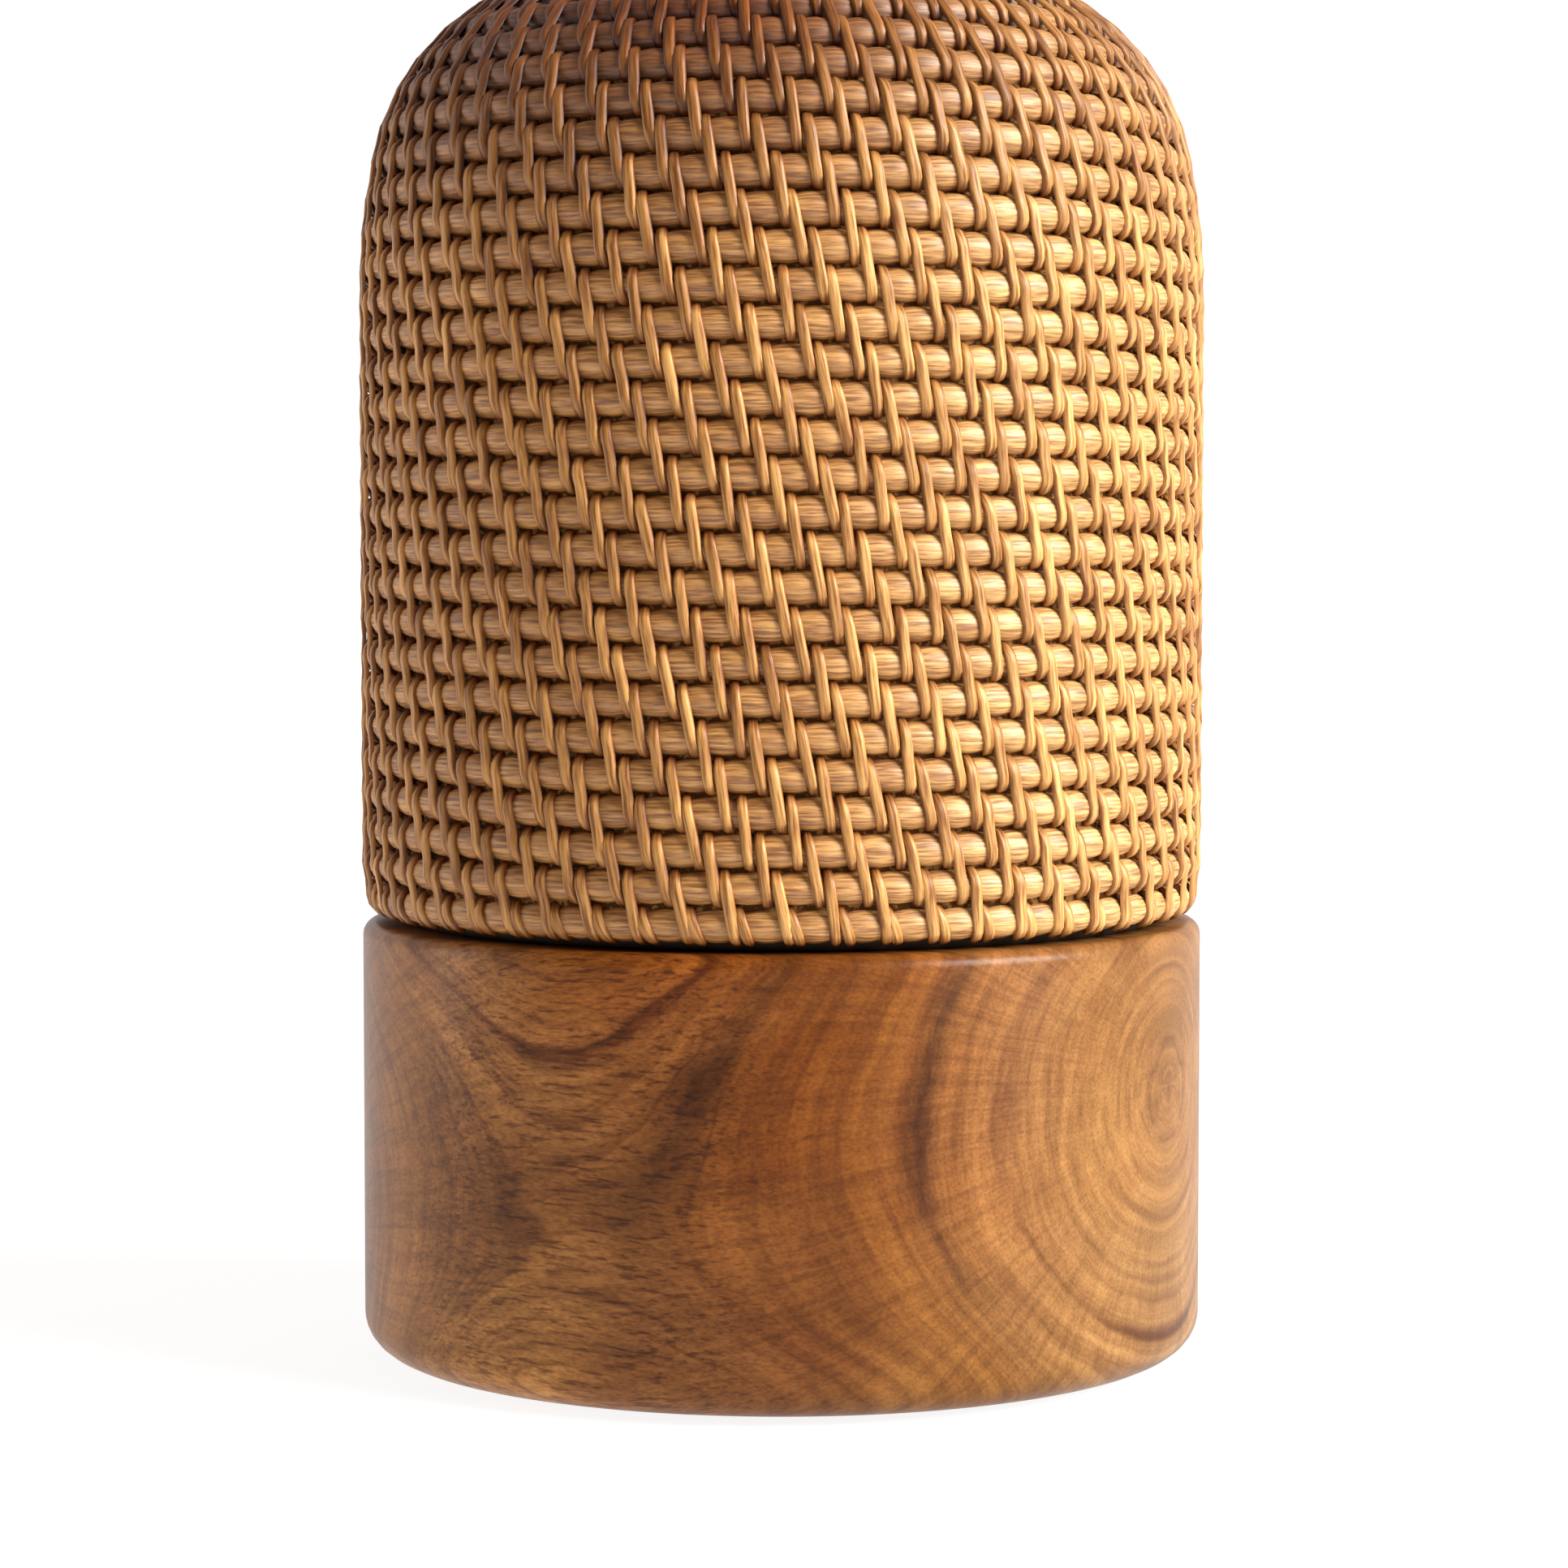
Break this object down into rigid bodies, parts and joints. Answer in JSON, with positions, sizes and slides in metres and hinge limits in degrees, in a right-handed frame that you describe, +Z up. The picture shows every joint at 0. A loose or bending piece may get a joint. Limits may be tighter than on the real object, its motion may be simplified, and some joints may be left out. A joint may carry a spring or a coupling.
{
  "type": "tiki torch",
  "caption": "Table torch with a turned wood base, a woven rattan body on a wire frame, and a lift-out fuel canister with a screw burner, wick and snuffer",
  "frame": {"origin": "middle of the underside pad, on the surface the torch stands on", "axes": "+Z up along the torch's axis; -Y is the front"},
  "size_m": [0.1204, 0.1204, 0.266],
  "materials": {
    "turned_wood": "satin",
    "rattan": "satin",
    "plywood": "matte",
    "cork": "matte",
    "steel": "brushed",
    "tinplate": "satin",
    "wire": "matte",
    "zinc": "satin",
    "seal_rubber": "matte",
    "glass_fibre": "matte"
  },
  "bodies": {
    "body": {"wood_base": "turned_wood", "base_pad": "cork", "base_screws": "zinc", "frame_floor": "plywood", "frame_bottom_ring": "wire", "frame_hoop": "wire", "frame_ribs": "wire", "frame_neck_ring": "steel", "weave_border": "rattan", "weave_wall": "rattan", "weave_shoulder": "rattan", "neck_collar": "steel", "canister_rest": "cork"},
    "canister": {"canister_shell": "tinplate", "canister_bottom": "tinplate", "canister_lid": "steel"},
    "gasket": {"cap_gasket": "seal_rubber"},
    "burner": {"wick_tube": "steel"},
    "cap": {"burner_cap": "steel"},
    "wick": {"wick": "glass_fibre"},
    "snuffer": {"snuffer_cup": "steel", "snuffer_knob": "turned_wood", "snuffer_pin": "zinc"}
  },
  "joints": [
    {"name": "canister_lift", "type": "slide", "parent": "body", "child": "canister", "axis": [0, 0, 1], "range_m": [0, 0.13]},
    {"name": "burner_lift", "type": "slide", "parent": "canister", "child": "gasket", "axis": [0, 0, 1], "range_m": [0, 0.145]},
    {"name": "burner_rise", "type": "slide", "parent": "gasket", "child": "burner", "axis": [0, 0, 1], "range_m": [0, 0.00885]},
    {"name": "burner_turn", "type": "hinge", "parent": "burner", "child": "cap", "pos_m": [0, 0, 0.21], "axis": [0, 0, 1], "range_deg": [0, 792]},
    {"name": "wick_feed", "type": "slide", "parent": "burner", "child": "wick", "axis": [0, 0, 1], "range_m": [-0.005, 0.008]},
    {"name": "snuffer_lift", "type": "slide", "parent": "burner", "child": "snuffer", "axis": [0, 0, 1], "range_m": [0, 0.04]}
  ],
  "couplings": [
    {"joint": "burner_rise", "follows": "burner_turn", "m_per_rad": 0.00063662}
  ]
}
